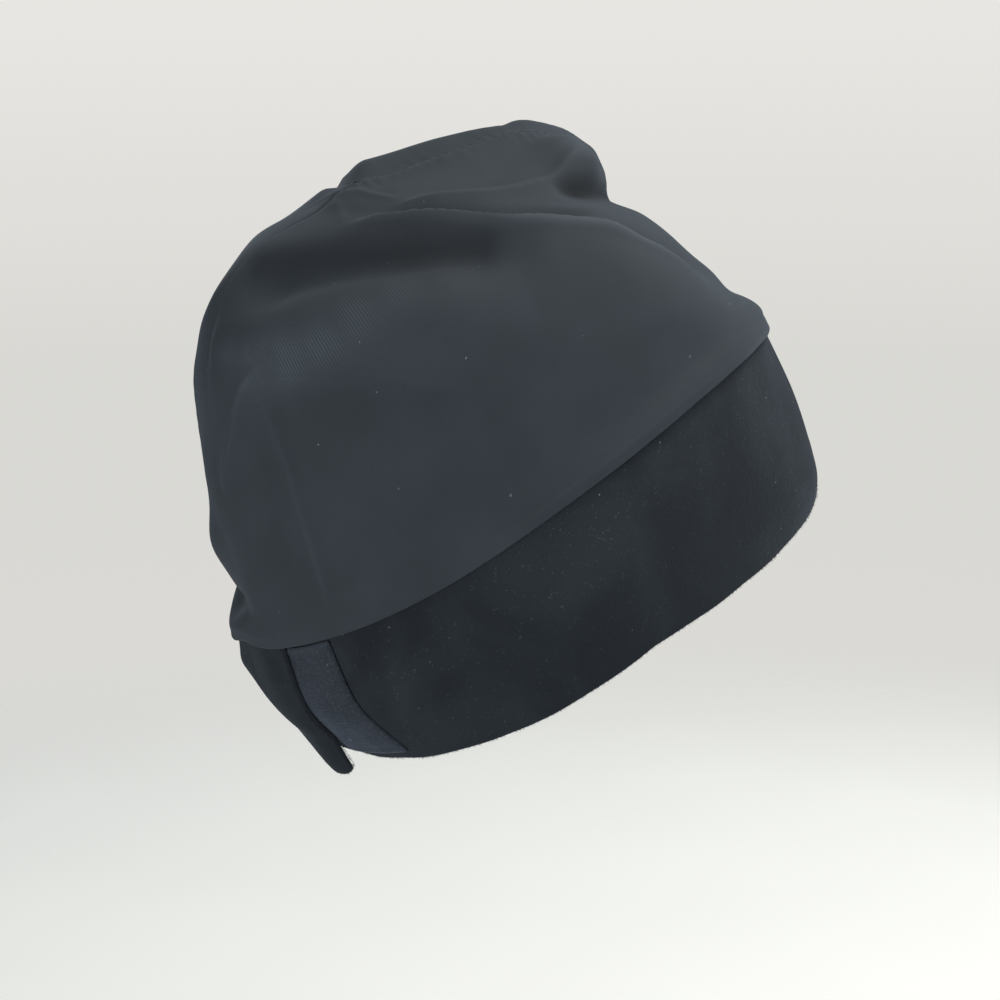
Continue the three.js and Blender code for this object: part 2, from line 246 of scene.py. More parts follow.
# The rounded edge of a cloth: how much of its wall is left at the very edge, and where its mesh
# lines lie, as shares of its radius
EDGE_LEAST = 0.03
EDGE_LINES = (0, 0.06, 0.2, 0.42, 0.7, 1.0)

# Beside the closure the knit is drawn tight over the hollow behind its hem: between which turns, up
# to which of its loops, and how fully
TAUT_FROM = 112
TAUT_TO = 138
TAUT_LEAVES = 172
TAUT_ENDS = 192
TAUT_PLACE = 3.2
TAUT_SHARE = 0.9
TAUT_ON_LEFT = 0.3

# The closure draws the hem and the band's upper edge down at the back, and most on the left
BACK_DIP = 1.5
BACK_DIP_FROM = 150
SIDE_DIP = 9
SIDE_DIP_FROM = 120
SIDE_DIP_FULL = 160
CROWN_DIP_FULL = 1.2
CROWN_DIP_GONE = 3
BAND_DIP_FROM = 1.5

# The closure: where the strap ends, in degrees of turn, and how its left end lifts over the
# patches, curls at its lower corner, settles at its very end and thins out there
RIGHT_END = 212
LEFT_END = -190
LIFT_FROM = 116
LIFT_TO = 148
CURL_FROM = 152
CURL_TOP = 1.2
CURL_OUT = 1.5
CURL_DOWN = 4
END_SETTLE = 1.2
END_SETTLE_FROM = 183
END_CORNER = 5
END_THIN = 0.45
END_THIN_REACH = 3.5

# The closure's layers: the gaps between them, the patches' cloth and its rounded edge, the steps of
# its mesh, and the width and height of the loop patch's turned-up rim. Each patch reaches from one
# turn to another and between two places of the band's loops, and the top of its first edge leans
# by so many degrees.
GAP = 0.3
PATCH_CLOTH = 1.0
PATCH_ROUND = 1.4
PATCH_STEP = 1.1
PATCH_ROW_STEP = 0.8
PATCH_RIM = 1.3
LOOP_CURL = 0.5
LOOP_PATCH = {"start": 151.6, "end": 208, "low": 0.42, "high": 2.8, "lean": 5}
HOOK_PATCH = {"start": -184, "end": -164, "low": 0.35, "high": 2.6, "lean": 0}

# The pile along the strap's edges: the width of a fibre, how far its root is sunk, how unevenly it
# leans, how far round the edge the roots go, the corners of its four faces, how many stand on each
# millimetre, and how many mesh lines in from the edge their way out is measured
FIBRE_WIDTH = 0.055
FIBRE_SUNK = 0.25
FIBRE_LEAN = 0.22
FIBRE_ROUND = 0.9
SPIKE_FACES = ((0, 1, 3), (1, 2, 3), (2, 0, 3), (2, 1, 0))
LOWER_EDGE_FIBRES = 13
RIGHT_END_FIBRES = 12
LEFT_END_FIBRES = 26
INSIDE_STEPS = 8

# The stitches of the seam: how thick and long each is, how far apart they are, how far from the
# seam's ends the first and last may be, over what length each follows it, and how deep it is sunk
STITCH_RADIUS = 0.17
STITCH_LENGTH = 1.9
STITCH_BEVEL = 0.1
STITCH_PITCH = 3.0
STITCH_FIRST = 2.0
STITCH_HOLD = 0.9
STITCH_SUNK = 0.5

# The colour of the nap's sheen, and how rough the sheen is
SHEEN_TINT = (0.72, 0.82, 0.95, 1)
SHEEN_ROUGHNESS = 0.4

# How steeply the knit's lines slant, in radians
WEAVE_SLANT = 0.22

# The camera, in millimetres and degrees: what it looks at, how far away it is, where from
AIM = (4.36, 7.87, 0)
CAMERA_DISTANCE = 700
CAMERA_TURN = -119
CAMERA_RISE = 12
CAMERA_LENS = 75.6
CAMERA_SENSOR = 36

# The stage, in metres: how large the floor and the backdrop are, and what the lights are aimed at
FLOOR_RADIUS = 1.0
BACKDROP_RADIUS = 3.0
LIGHT_AIM = (0, 0, 0.02)


def smooth_step(start, end, value):
    """From 0 at the start to 1 at the end."""
    t = np.clip((value - start) / (end - start), 0, 1)
    return t * t * (3 - 2 * t)


def curve_between(low, high, leaving, arriving, t):
    """A smooth curve from one value to the next, which leaves and arrives at the given slopes."""
    even = 3 * t**2 - 2 * t**3
    return low + (high - low) * even + leaving * t * (1 - t) ** 2 - arriving * t**2 * (1 - t)


def smooth_size(table, size, places):
    """One column of a table of loops as a smooth curve through its rows."""
    values = np.array([row[LOOP_COLUMNS.index(size)] for row in table], float)
    last = len(values) - 1
    row = np.clip(np.floor(places).astype(int), 0, last - 1)
    t = places - row
    low = values[row]
    high = values[row + 1]
    before = values[np.maximum(row - 1, 0)]
    after = values[np.minimum(row + 2, last)]
    leaving = np.where(row == 0, high - low, (high - before) / 2)
    arriving = np.where(row == last - 1, high - low, (after - low) / 2)
    return curve_between(low, high, leaving, arriving, t)


def loop_surface(table, turns, places):
    """Points of the surface through a table of loops, for turns round from the front and places."""
    size = {name: smooth_size(table, name, places) for name in LOOP_COLUMNS[1:]}
    along = np.cos(np.radians(turns))
    across = np.sin(np.radians(turns))
    reach = np.where(along >= 0, size["side_y"] - size["front_y"], size["back_y"] - size["side_y"])
    rise = (size["front_z"] - size["back_z"]) / 2
    dip = (size["front_z"] + size["back_z"]) / 2 - size["side_z"]
    x = -size["width"] * across
    y = size["side_y"] - reach * along
    z = size["side_z"] + rise * along + dip * along**2 + size["bend"] * along * (1 - along**2)
    return np.stack(np.broadcast_arrays(x, y, z), -1)


def hem_dip(turns):
    """How far the closure draws the cloth down."""
    beside = np.mod(turns + 540, 360) - 180
    left = SIDE_DIP * smooth_step(SIDE_DIP_FROM, SIDE_DIP_FULL, -beside)
    left = left + (BACK_DIP - SIDE_DIP) * smooth_step(SIDE_DIP_FULL, 180, -beside)
    return np.where(beside > 0, BACK_DIP * smooth_step(BACK_DIP_FROM, 180, beside), left)


def band_surface(turns, places):
    """Points of the plain band."""
    points = loop_surface(BAND_LOOPS, turns, places)
    points[..., 2] -= hem_dip(turns) * smooth_step(BAND_DIP_FROM, len(BAND_LOOPS) - 1, places)
    return points


def crown_surface(turns, places):
    """Points of the plain crown."""
    points = loop_surface(CROWN_LOOPS, turns, places)
    points[..., 2] -= hem_dip(turns) * (1 - smooth_step(CROWN_DIP_FULL, CROWN_DIP_GONE, places))
    return points


def unit(vectors):
    """The same ways, each one long."""
    return vectors / np.maximum(np.linalg.norm(vectors, axis=-1, keepdims=True), 1e-9)


def outwards(grid, side):
    """The way out of a grid of points, at each point."""
    round_the_cap = np.gradient(grid, axis=0)
    upwards = np.gradient(grid, axis=1)
    return unit(np.cross(upwards, round_the_cap) * side)


def seam_outwards(grid, side):
    """The same for a crown panel, whose seam edges keep to the middle plane."""
    out = outwards(grid, side)
    out[:2] = out[2]
    out[-2:] = out[-3]
    out[:, -2:] = out[:, -3:-2]
    out[0, :, 0] = 0
    out[-1, :, 0] = 0
    out[:, -1, 0] = 0
    return unit(out)


def run_lengths(grid, axis=0):
    """How far each point lies along its path, or along its row or column of a grid."""
    steps = np.linalg.norm(np.diff(grid, axis=axis), axis=-1)
    start = np.zeros_like(np.take(steps, [0], axis=axis))
    return np.concatenate([start, np.cumsum(steps, axis=axis)], axis=axis)


def read_off(path, length, at):
    """Points of a path at distances along it."""
    return np.stack([np.interp(at, length, path[:, k]) for k in range(3)], -1)


def crown_places(turn, count):
    """Places between the crown's loops, evenly along the cloth but closer together at the hem."""
    fine = np.linspace(0, len(CROWN_LOOPS) - 1, FINE_ROWS)
    length = run_lengths(crown_surface(np.array([[float(turn)]]), fine[None, :]), 1)[0]
    return np.interp(length[-1] * np.linspace(0, 1, count) ** ROW_CROWDING, length, fine)


def edge_spread(length, step, radius):
    """Distances along a strip that lie close together at its rounded ends."""
    near = radius * np.array(EDGE_LINES)
    middle = np.linspace(radius, length - radius, max(int((length - 2 * radius) / step), 2) + 1)
    return np.concatenate([near, middle[1:-1], length - near[::-1]])


def eased(values):
    """A row of values with its small steps smoothed out."""
    reach = min(EASE_REACH, len(values) // 2)
    weights = np.hanning(2 * reach + 1)
    weights /= weights.sum()
    padded = np.pad(values, ((reach, reach), (0, 0)), mode="edge")
    return np.stack([np.convolve(row, weights, mode="valid") for row in padded.T], -1)


def fold_path(line, points, out):
    """A fold's line as closely spaced points that lie on the cloth."""
    knots = np.array(line, float)
    spans = run_lengths(knots)
    count = max(int(spans[-1] / PATH_STEP), 8)
    at = np.linspace(0, spans[-1], count + 1)
    tangents = np.gradient(knots, spans, axis=0)
    row = np.clip(np.searchsorted(spans, at, side="right") - 1, 0, len(spans) - 2)
    length = (spans[row + 1] - spans[row])[:, None]
    t = (at - spans[row])[:, None] / length
    leaving = tangents[row] * length
    arriving = tangents[row + 1] * length
    path = curve_between(knots[row], knots[row + 1], leaving, arriving, t)
    nearest = np.array([((points - place) ** 2).sum(-1).argmin() for place in path])
    depth = ((path - points[nearest]) * out[nearest]).sum(-1)[:, None]
    path -= eased(out[nearest] * depth)
    return path


def fold_heights(points, out, folds):
    """How far the folds push each point of the cloth out, and its painted highlight or shade."""
    total = np.zeros(len(points))
    lighter = np.zeros(len(points))
    for name, line, left, right, height, sharp, fade, light in folds:
        path = fold_path(line, points, out)
        tangent = unit(np.gradient(path, axis=0))
        reach = FOLD_REACH * max(left, right)
        box = (points > path.min(0) - reach).all(1) & (points < path.max(0) + reach).all(1)
        near = np.nonzero(box)[0]
        if len(near) == 0:
            raise RuntimeError("the fold '%s' lies off the cloth" % name)
        between = points[near][:, None].astype(np.float32) - path[None].astype(np.float32)
        closest = (between**2).sum(-1).argmin(1)
        away = points[near] - path[closest]
        hand = (away * np.cross(tangent[closest], out[near])).sum(-1)
        beyond = (away * tangent[closest]).sum(-1)
        share = closest / (len(path) - 1) + beyond / (len(path) * PATH_STEP)
        width = left + (right - left) * smooth_step(-1, 1, hand / min(left, right))
        ends = smooth_step(0, fade, np.minimum(share, 1 - share) + fade / 2)
        past_end = tangent[closest] * beyond[:, None] * PAST_END_SHARE
        distance = np.linalg.norm(away - past_end, axis=1)
        total[near] += height * ends * np.exp(-((distance / width) ** sharp))
        # The painted highlight or shade that the fold puts in the knit's colour, narrower along a
        # crease.
        painted_width = width * (PAINTED_LIGHT_SHARE if sharp < PAINTED_LIGHT_SHARP else 1)
        lighter[near] += light * ends * np.exp(-((distance / painted_width) ** 2))
    return total, lighter


def unevenness(points, height, size, seed):
    """Soft irregular waves of about the given height and size."""
    chance = np.random.default_rng(seed)
    total = np.zeros(points.shape[:-1])
    for _ in range(WAVE_COUNT):
        direction = unit(chance.normal(size=3))
        pitch = size * chance.uniform(0.7, 1.6)
        total += np.sin(points @ direction * (2 * math.pi / pitch) + chance.uniform(0, 2 * math.pi))
    return height * (total / (WAVE_COUNT / 2))


def cloth_waves(points):
    """The soft unevenness of the crown's knit."""
    return sum(unevenness(points, *waves) for waves in KNIT_WAVES)


def closure_lift(band_cloth):
    """How far the strap's left end lies out over both patches and the right end."""
    return 3 * GAP + 2 * PATCH_CLOTH + band_cloth


def strap_lift(turns, band_cloth):
    """How far the strap stands out where its left end passes over the closure."""
    return closure_lift(band_cloth) * smooth_step(LIFT_FROM, LIFT_TO, -turns)


def end_settle(turns):
    """How far the strap's very end lies back down on the patch."""
    return END_SETTLE * smooth_step(END_SETTLE_FROM, -LEFT_END, -turns)


def closure_height(turns, band_cloth):
    """How far the closure under the crown's hem stands out on both sides of the back."""
    patch = GAP + PATCH_CLOTH
    patch_from = LOOP_PATCH["start"]
    over_patch = patch * smooth_step(patch_from - HEM_FALL, patch_from, turns)
    strap_end = 360 + LEFT_END
    over_strap = smooth_step(strap_end - HEM_FALL, strap_end, turns)
    over_strap = (closure_lift(band_cloth) - patch) * over_strap
    return np.where(turns < 0, strap_lift(turns, band_cloth), over_patch + over_strap)


def taut_height(outer, over, turns, places):
    """How far the knit beside the closure spans the hollow behind its hem, on the level."""
    beside = np.mod(turns, 360)
    fades = smooth_step(TAUT_FROM, TAUT_TO, np.minimum(beside, 360 - beside))
    fades = fades * (1 - (1 - TAUT_ON_LEFT) * smooth_step(TAUT_LEAVES, TAUT_ENDS, beside))
    top = int(np.searchsorted(places[0], TAUT_PLACE))
    reach = (outer * over).sum(-1)
    height = outer[..., 2]
    share = (height - height[:, :1]) / (height[:, top:top + 1] - height[:, :1])
    line = reach[:, :1] + (reach[:, top:top + 1] - reach[:, :1]) * share
    span = np.maximum(line - reach, 0) * (np.arange(outer.shape[1]) <= top)
    return TAUT_SHARE * fades * span


def hem_out(turns):
    """The level way out of the band's upper edge, along which the hem is eased over it."""
    top = np.array([[float(len(BAND_LOOPS) - 1)]])
    ahead = band_surface(turns + 1, top) - band_surface(turns - 1, top)
    return unit(np.stack([-ahead[..., 1], ahead[..., 0], np.zeros(ahead.shape[:2])], -1))


def hem_height(points, turns, out, clearance, band_cloth):
    """How far the crown stands out to pass over the band, less above the band's upper edge."""
    top = len(BAND_LOOPS) - 1
    low = np.zeros(points.shape[:2])
    high = np.full(points.shape[:2], float(top))
    for _ in range(HALVINGS):
        middle = (low + high) / 2
        below = band_surface(turns, middle)[..., 2] < points[..., 2]
        low = np.where(below, middle, low)
        high = np.where(below, high, middle)
    clear = ((points - band_surface(turns, high)) * out).sum(-1)
    above = points[..., 2] - band_surface(turns, np.array([[float(top)]]))[..., 2]
    lap = np.maximum(clearance - clear, 0) * (1 - smooth_step(0, LAP_FADE, above))
    ledge = HEM_LEDGE * (1 - smooth_step(-1, 1.5, above))
    back_at = CLOSURE_FADE - CLOSURE_TIGHT * smooth_step(180, 198, np.mod(turns, 360))
    closure = closure_height(turns, band_cloth) * (1 - smooth_step(CLOSURE_CLEAR, back_at, above))
    return lap + ledge + closure


def linked(name, data):
    """A new object of the scene with the given mesh, light or camera."""
    made = bpy.data.objects.new(name, data)
    bpy.context.scene.collection.objects.link(made)
    return made


def cloth_object(name, outer, inner, side, uv, attributes=None):
    """A closed sheet between two grids of points, with its own UV map in metres."""
    columns, rows = outer.shape[:2]
    count = columns * rows
    index = np.arange(count).reshape(columns, rows)
    a, b, c, d = index[:-1, :-1], index[:-1, 1:], index[1:, 1:], index[1:, :-1]
    faces = np.stack([a, b, c, d], -1).reshape(-1, 4)
    if side < 0:
        faces = faces[:, ::-1]
    inner_faces = faces[:, ::-1] + count
    rim = np.concatenate([index[:-1, 0], index[-1, :-1], index[:0:-1, -1], index[0, :0:-1]])
    after = np.roll(rim, -1)
    rim_faces = np.stack([rim, after, after + count, rim + count], -1)
    if side < 0:
        rim_faces = rim_faces[:, ::-1]
    all_faces = np.concatenate([faces, inner_faces, rim_faces])
    points = np.concatenate([outer.reshape(-1, 3), inner.reshape(-1, 3)]) * MM
    mesh = bpy.data.meshes.new(name)
    mesh.from_pydata(points.tolist(), [], all_faces.tolist())
    mesh.update()
    layer = mesh.uv_layers.new(name="cloth")
    both = np.concatenate([uv.reshape(-1, 2)] * 2) * MM
    layer.data.foreach_set("uv", both[all_faces.reshape(-1)].astype(np.float32).reshape(-1))
    for label, values in (attributes or {}).items():
        attribute = mesh.attributes.new(label, "FLOAT", "POINT")
        both = np.concatenate([values.reshape(-1)] * 2)
        attribute.data.foreach_set("value", both.astype(np.float32))
    mesh.polygons.foreach_set("use_smooth", [True] * len(mesh.polygons))
    return linked(name, mesh)


def round_share(edge_distance, radius):
    """How much of a wall's thickness is left near its round edge."""
    near = np.clip(edge_distance / radius, 0, 1)
    return np.sqrt(np.maximum(1 - (1 - near) ** 2, EDGE_LEAST**2))[..., None]


def rounded_wall(outer, out, thickness, edge_distance):
    """An outer and an inner grid that close in a round edge."""
    shift = thickness * (1 - round_share(edge_distance, thickness / 2)) / 2
    return outer - out * shift, outer - out * (thickness - shift)


def flat_backed_wall(outer, out, thickness, edge_distance):
    """The same for a patch that lies flat on its back, so that only its face rounds off."""
    inner = outer - out * thickness
    return inner + out * thickness * round_share(edge_distance, PATCH_ROUND), inner


def crown_panel(side, folds, sizes):
    """One half of the crown as a stretched knit sheet. Side is 1 for the right, -1 for the left."""
    columns = sizes.crown_columns
    rows = sizes.crown_rows
    thickness = sizes.knit_thickness / MM
    turns = np.linspace(0, 180, columns + 1)
    turns = side * np.insert(turns, (1, columns), (EDGE_TURN, 180 - EDGE_TURN))[:, None]
    places = crown_places(ROW_TURN * side, rows + 1)
    places = np.insert(places, rows, places[-1] - EDGE_PLACE)[None, :]
    plain = crown_surface(turns, places)
    out = seam_outwards(plain, side)
    heights, lighter = fold_heights(plain.reshape(-1, 3), out.reshape(-1, 3), folds)
    from_seam = np.abs(plain[..., 0])
    height = smooth_step(0, FOLD_CLEAR_OF_SEAM, from_seam) * heights.reshape(from_seam.shape)
    height = height + cloth_waves(plain)
    height = height + smooth_step(0, PUCKER_CLEAR, from_seam) * seam_puckers(plain, side)
    band_cloth = sizes.velvet_thickness / MM
    over = hem_out(turns)
    lift = hem_height(plain, turns, over, thickness + GAP + LAP_SPARE, band_cloth)
    lift = lift + taut_height(plain + over * lift[..., None], over, turns, places)
    outer = plain + out * height[..., None] + over * lift[..., None]
    out = seam_outwards(outer, side)
    groove = GROOVE_LEAST + GROOVE_DEPTH * smooth_step(GROOVE_FROM, GROOVE_FULL, outer[..., 2])
    groove = groove * np.exp(-((np.abs(outer[..., 0]) / GROOVE_WIDTH) ** 1.5))
    outer = outer - out * groove[..., None]
    outer, inner = rounded_wall(outer, out, thickness, run_lengths(outer, 1))
    outer[..., 0] -= side * SEAM_HALF_GAP
    inner[..., 0] -= side * SEAM_HALF_GAP
    along = run_lengths(outer)
    along = (along[columns // 2] - along) * side
    uv = np.stack([along, run_lengths(outer, 1)], -1)
    name = "knit_crown_right" if side > 0 else "knit_crown_left"
    # The lighter values carry painted highlights and painted shade into the knit's colour.
    painted = {"weave_show": weave_show(outer, side), "lighter": lighter}
    panel = cloth_object(name, outer, inner, side, uv, painted)
    return panel


def seam_puckers(points, side):
    """Small uneven gathers where the seam over the top draws the knit in."""
    along_seam = points[..., 1]
    top = smooth_step(PUCKERS_FROM, PUCKERS_FULL, points[..., 2])
    near = np.exp(-((np.abs(points[..., 0]) / PUCKER_WIDTH) ** 1.6))
    drift = 2.2 * np.sin(along_seam * 0.11 + side) + 1.1 * np.sin(along_seam * 0.31)
    waves = np.sin(along_seam * 1.3 + drift) * (0.55 + 0.45 * np.sin(along_seam * 0.23 + side))
    return PUCKER_HEIGHT * top * near * waves


def weave_show(points, side):
    """Where the knit is pulled so that its slanting lines show, from 0 to 1."""
    show = np.zeros(points.shape[:2])
    for _, (x, y, z), strength, radius in STRETCHED:
        away = np.linalg.norm(points - np.array([x * side, y, z], float), axis=-1)
        show = np.maximum(show, strength * np.exp(-((away / radius) ** 2)))
    return WEAVE_LEAST + (1 - WEAVE_LEAST) * show


def turn_spread(start, end, place, step, radius):
    """Turns for columns that lie close together at both ends of a strip of the band."""
    fine = np.linspace(start, end, FINE_TURNS)
    length = run_lengths(band_surface(fine[:, None], np.array([[float(place)]])))[:, 0]
    columns = edge_spread(length[-1], step, radius)
    return np.interp(columns, length, fine), columns


def place_spread(low, high, turn, step, radius, count):
    """The same for rows between two places, with both curves that they are read off."""
    fine = np.linspace(low, high, count)
    length = run_lengths(band_surface(np.array([[float(turn)]]), fine[None, :]), 1)[0]
    return edge_spread(length[-1], step, radius), length, fine


def edge_distances(columns, rows):
    """How far each point of a strip lies from its nearest edge."""
    across = np.minimum(columns, columns[-1] - columns)[:, None]
    up = np.minimum(rows, rows[-1] - rows)[None, :]
    return np.minimum(across, up)


def strap_curl(points, turns, places):
    """The lower corner of the strap's left end hangs down and away."""
    share = smooth_step(CURL_FROM, -LEFT_END, -turns) * (1 - smooth_step(0, CURL_TOP, places))
    points[..., 1] += CURL_OUT * share
    points[..., 2] -= CURL_DOWN * share
    return points


def band_crease_heights(points, creases):
    """How far the creases push each point of the band out."""
    total = np.zeros(points.shape[:2])
    for _, start, end, width, height in creases:
        turns = np.linspace(start[0], end[0], CREASE_POINTS)
        places = np.linspace(start[1], end[1], CREASE_POINTS)
        places = places + CREASE_WAVE * np.sin(np.linspace(0, 9, CREASE_POINTS))
        path = band_surface(turns[:, None], places[:, None])[:, 0]
        away = np.linalg.norm(points[:, :, None] - path[None, None], axis=-1)
        closest = away.argmin(-1)
        ends = np.sin(closest / (CREASE_POINTS - 1) * math.pi) ** 0.6
        total += height * ends * np.exp(-((away.min(-1) / width) ** 1.6))
    return total


def velvet_strap(sizes):
    """The band with both of its ends, as one thick velvet sheet with rounded edges."""
    thickness = sizes.velvet_thickness / MM
    step = sizes.band_step / MM
    round_edge = thickness / 2
    turns, columns = turn_spread(RIGHT_END, LEFT_END, MIDDLE_PLACE, step, round_edge)
    top = len(BAND_LOOPS) - 1
    rows, length, fine = place_spread(0, top, SIDE_TURN, step, round_edge, FINE_ROWS)
    turns = turns[:, None]
    from_end = np.minimum(columns[-1] - columns, END_CORNER)
    corner = END_CORNER - np.sqrt(END_CORNER**2 - (END_CORNER - from_end) ** 2)
    rounded = corner[:, None] + rows[None, :] * (1 - corner[:, None] / rows[-1])
    places = np.interp(rounded, length, fine)
    plain = band_surface(turns, places)
    lifts = strap_lift(turns, thickness) - end_settle(turns)
    lifts = lifts + unevenness(plain, *VELVET_WAVES)
    lifts = lifts + band_crease_heights(plain, BAND_CREASES)
    side = -1
    out = outwards(plain, side)
    outer = plain + out * lifts[..., None]
    low_edge = np.exp(-((rows / LOW_EDGE_REACH) ** 2))[None, :]
    outer[..., 2] += low_edge * unevenness(plain, *LOW_EDGE_WAVES)
    outer = strap_curl(outer, turns, places)
    back = outer - out * thickness
    outer, inner = rounded_wall(outer, out, thickness, edge_distances(columns, rows))
    near_end = np.exp(-(((columns[-1] - columns) / END_THIN_REACH) ** 2))[:, None, None]
    wall = (outer - inner) * (1 - END_THIN * near_end)
    inner = inner + (back - inner) * near_end
    outer = inner + wall
    uv = np.stack(np.broadcast_arrays(-columns[:, None], rows[None, :]), -1)
    strap = cloth_object("velvet_strap", outer, inner, side, uv)
    return strap, outer, out


def patch_sheet(patch, height, name, curl):
    """A fastener patch that follows the strap at a height over it, with turned-up edges."""
    start, end, low, high = (patch[key] for key in ("start", "end", "low", "high"))
    turns, columns = turn_spread(start, end, MIDDLE_PLACE, PATCH_STEP, PATCH_ROUND)
    middle = (start + end) / 2
    rows, length, fine = place_spread(low, high, middle, PATCH_ROW_STEP, PATCH_ROUND, PATCH_FINE)
    places = np.interp(rows, length, fine)[None, :]
    from_end = 1 - columns[:, None] / columns[-1]
    turns = turns[:, None] + patch["lean"] * from_end * (places - low) / (high - low)
    plain = band_surface(turns, places)
    side = 1
    out = outwards(plain, side)
    from_edge = np.minimum(rows, rows[-1] - rows)[None, :]
    rim = np.exp(-((from_edge / PATCH_RIM) ** 2)) * np.ones_like(turns)
    lifts = height + curl * rim + unevenness(plain, *PATCH_WAVES)
    outer = plain + out * lifts[..., None]
    outer, inner = flat_backed_wall(outer, out, PATCH_CLOTH, edge_distances(columns, rows))
    uv = np.stack(np.broadcast_arrays(columns[:, None], rows[None, :]), -1)
    # The rim values also give the patch's colour its painted highlight along the edges.
    sheet = cloth_object(name, outer, inner, side, uv, {"rim": rim})
    return sheet


def pile_mesh(name, roots, directions, lengths):
    """Many short tapered fibres, each a closed spike with three sides."""
    chance = np.random.default_rng(FIBRE_DRAWS)
    count = len(roots)
    spin = unit(np.cross(directions, chance.normal(size=(count, 3))))
    third = np.cross(directions, spin)
    corners = []
    for k in range(3):
        angle = 2 * math.pi * k / 3
        corners.append(roots + FIBRE_WIDTH * (math.cos(angle) * spin + math.sin(angle) * third))
    lean = chance.normal(size=(count, 3)) * FIBRE_LEAN
    tips = roots + unit(directions + lean) * lengths[:, None]
    points = np.stack(corners + [tips], 1).reshape(-1, 3) * MM
    first = np.arange(count)[:, None] * 4
    faces = np.concatenate([first + corner for corner in SPIKE_FACES])
    mesh = bpy.data.meshes.new(name)
    mesh.from_pydata(points.tolist(), [], faces.tolist())
    mesh.update()
    return linked(name, mesh)


def edge_pile(outer, out, sizes):
    """The pile that stands out along the strap's lower edge and its two ends."""
    chance = np.random.default_rng(ROOT_DRAWS)
    roots = []
    directions = []
    edges = (
        (outer[:, 0], outer[:, INSIDE_STEPS], out[:, 0], LOWER_EDGE_FIBRES),
        (outer[0], outer[INSIDE_STEPS], out[0], RIGHT_END_FIBRES),
        (outer[-1], outer[-1 - INSIDE_STEPS], out[-1], LEFT_END_FIBRES),
    )
    half = sizes.velvet_thickness / MM / 2
    for rim, inside, normal, per_mm in edges:
        length = run_lengths(rim)
        count = int(length[-1] * per_mm)
        at = chance.uniform(0, length[-1], count)
        edge = read_off(rim, length, at)
        away = unit(edge - read_off(inside, length, at))
        face = read_off(normal, length, at)
        spread = chance.uniform(-1, 1, count)[:, None]
        sunk = FIBRE_SUNK + half * (1 - np.sqrt(1 - FIBRE_ROUND * spread**2))
        roots.append(edge - away * sunk + face * spread * half * FIBRE_ROUND)
        directions.append(unit(away + face * spread * FIBRE_ROUND))
    roots = np.concatenate(roots)
    directions = np.concatenate(directions)
    lengths = sizes.pile_length / MM * chance.uniform(0.55, 1.25, len(roots)) + FIBRE_SUNK
    return pile_mesh("velvet_pile_edge", roots, directions, lengths)


def seam_thread():
    """The stitches along the seam over the crown, one modelled stitch copied along the seam."""
    bpy.ops.object.select_all(action="DESELECT")
    bpy.ops.mesh.primitive_cylinder_add(
        vertices=8, radius=STITCH_RADIUS * MM, depth=STITCH_LENGTH * MM, location=(0, 0, 0)
    )
    stitch = bpy.context.object
    bpy.ops.object.mode_set(mode="EDIT")
    bpy.ops.mesh.select_all(action="SELECT")
    bpy.ops.mesh.bevel(offset=STITCH_BEVEL * MM, segments=2, affect="EDGES")
    bpy.ops.mesh.select_all(action="DESELECT")
    bpy.ops.object.mode_set(mode="OBJECT")
    across = np.linspace(0, 180, 900)[:, None]
    path = crown_surface(across, np.array([[float(len(CROWN_LOOPS) - 1)]]))[:, 0]
    run = unit(np.gradient(path, axis=0))
    path += np.stack([run[:, 0] * 0, -run[:, 2], run[:, 1]], -1) * cloth_waves(path)[:, None]
    length = run_lengths(path)
    stitches = []
    for at in np.arange(STITCH_FIRST, length[-1] - STITCH_FIRST, STITCH_PITCH):
        start, end = read_off(path, length, at + np.array([-STITCH_HOLD, STITCH_HOLD]))
        run = unit(end - start)
        normal = np.array([0.0, -run[2], run[1]])
        middle = (start + end) / 2 - normal * STITCH_SUNK
        copy = stitch.copy()
        copy.data = stitch.data.copy()
        turn = Vector(run).to_track_quat("Z", "X").to_matrix().to_4x4()
        turn.translation = Vector(middle * MM)
        copy.data.transform(turn)
        bpy.context.scene.collection.objects.link(copy)
        stitches.append(copy)
    bpy.data.objects.remove(stitch, do_unlink=True)
    bpy.ops.object.select_all(action="DESELECT")
    for copy in stitches:
        copy.select_set(True)
    bpy.context.view_layer.objects.active = stitches[0]
    bpy.ops.object.join()
    thread = bpy.context.object
    thread.name = "seam_thread"
    thread.data.name = "seam_thread"
    bpy.ops.object.select_all(action="DESELECT")
    return thread


def new_material(name):
    """A material with its node tree and its shader."""
    material = bpy.data.materials.new(name)
    material.use_nodes = True
    tree = material.node_tree
    return material, tree, tree.nodes["Principled BSDF"]


def node(tree, kind, **settings):
    """A new node with its settings. One named in_ and a number sets that input."""
    made = tree.nodes.new(kind)
    for key, value in settings.items():
        if key.startswith("in_"):
            made.inputs[int(key[3:])].default_value = value
        else:
            setattr(made, key, value)
    return made


def set_inputs(tree, made, values):
    """Sets inputs of a node by name or number, each to a value or the output of another node."""
    for key, value in values.items():
        if isinstance(value, bpy.types.NodeSocket):
            tree.links.new(value, made.inputs[key])
        else:
            made.inputs[key].default_value = value


def object_place(tree):
    """Where a point lies in the frame, in metres."""
    return node(tree, "ShaderNodeTexCoord").outputs["Object"]


def cloth_place(tree):
    """Where a point lies on the flat cloth, in metres."""
    return node(tree, "ShaderNodeUVMap", uv_map="cloth").outputs[0]


def mesh_values(tree, name):
    """The values of the given name that the mesh's points carry."""
    return node(tree, "ShaderNodeAttribute", attribute_name=name).outputs["Fac"]


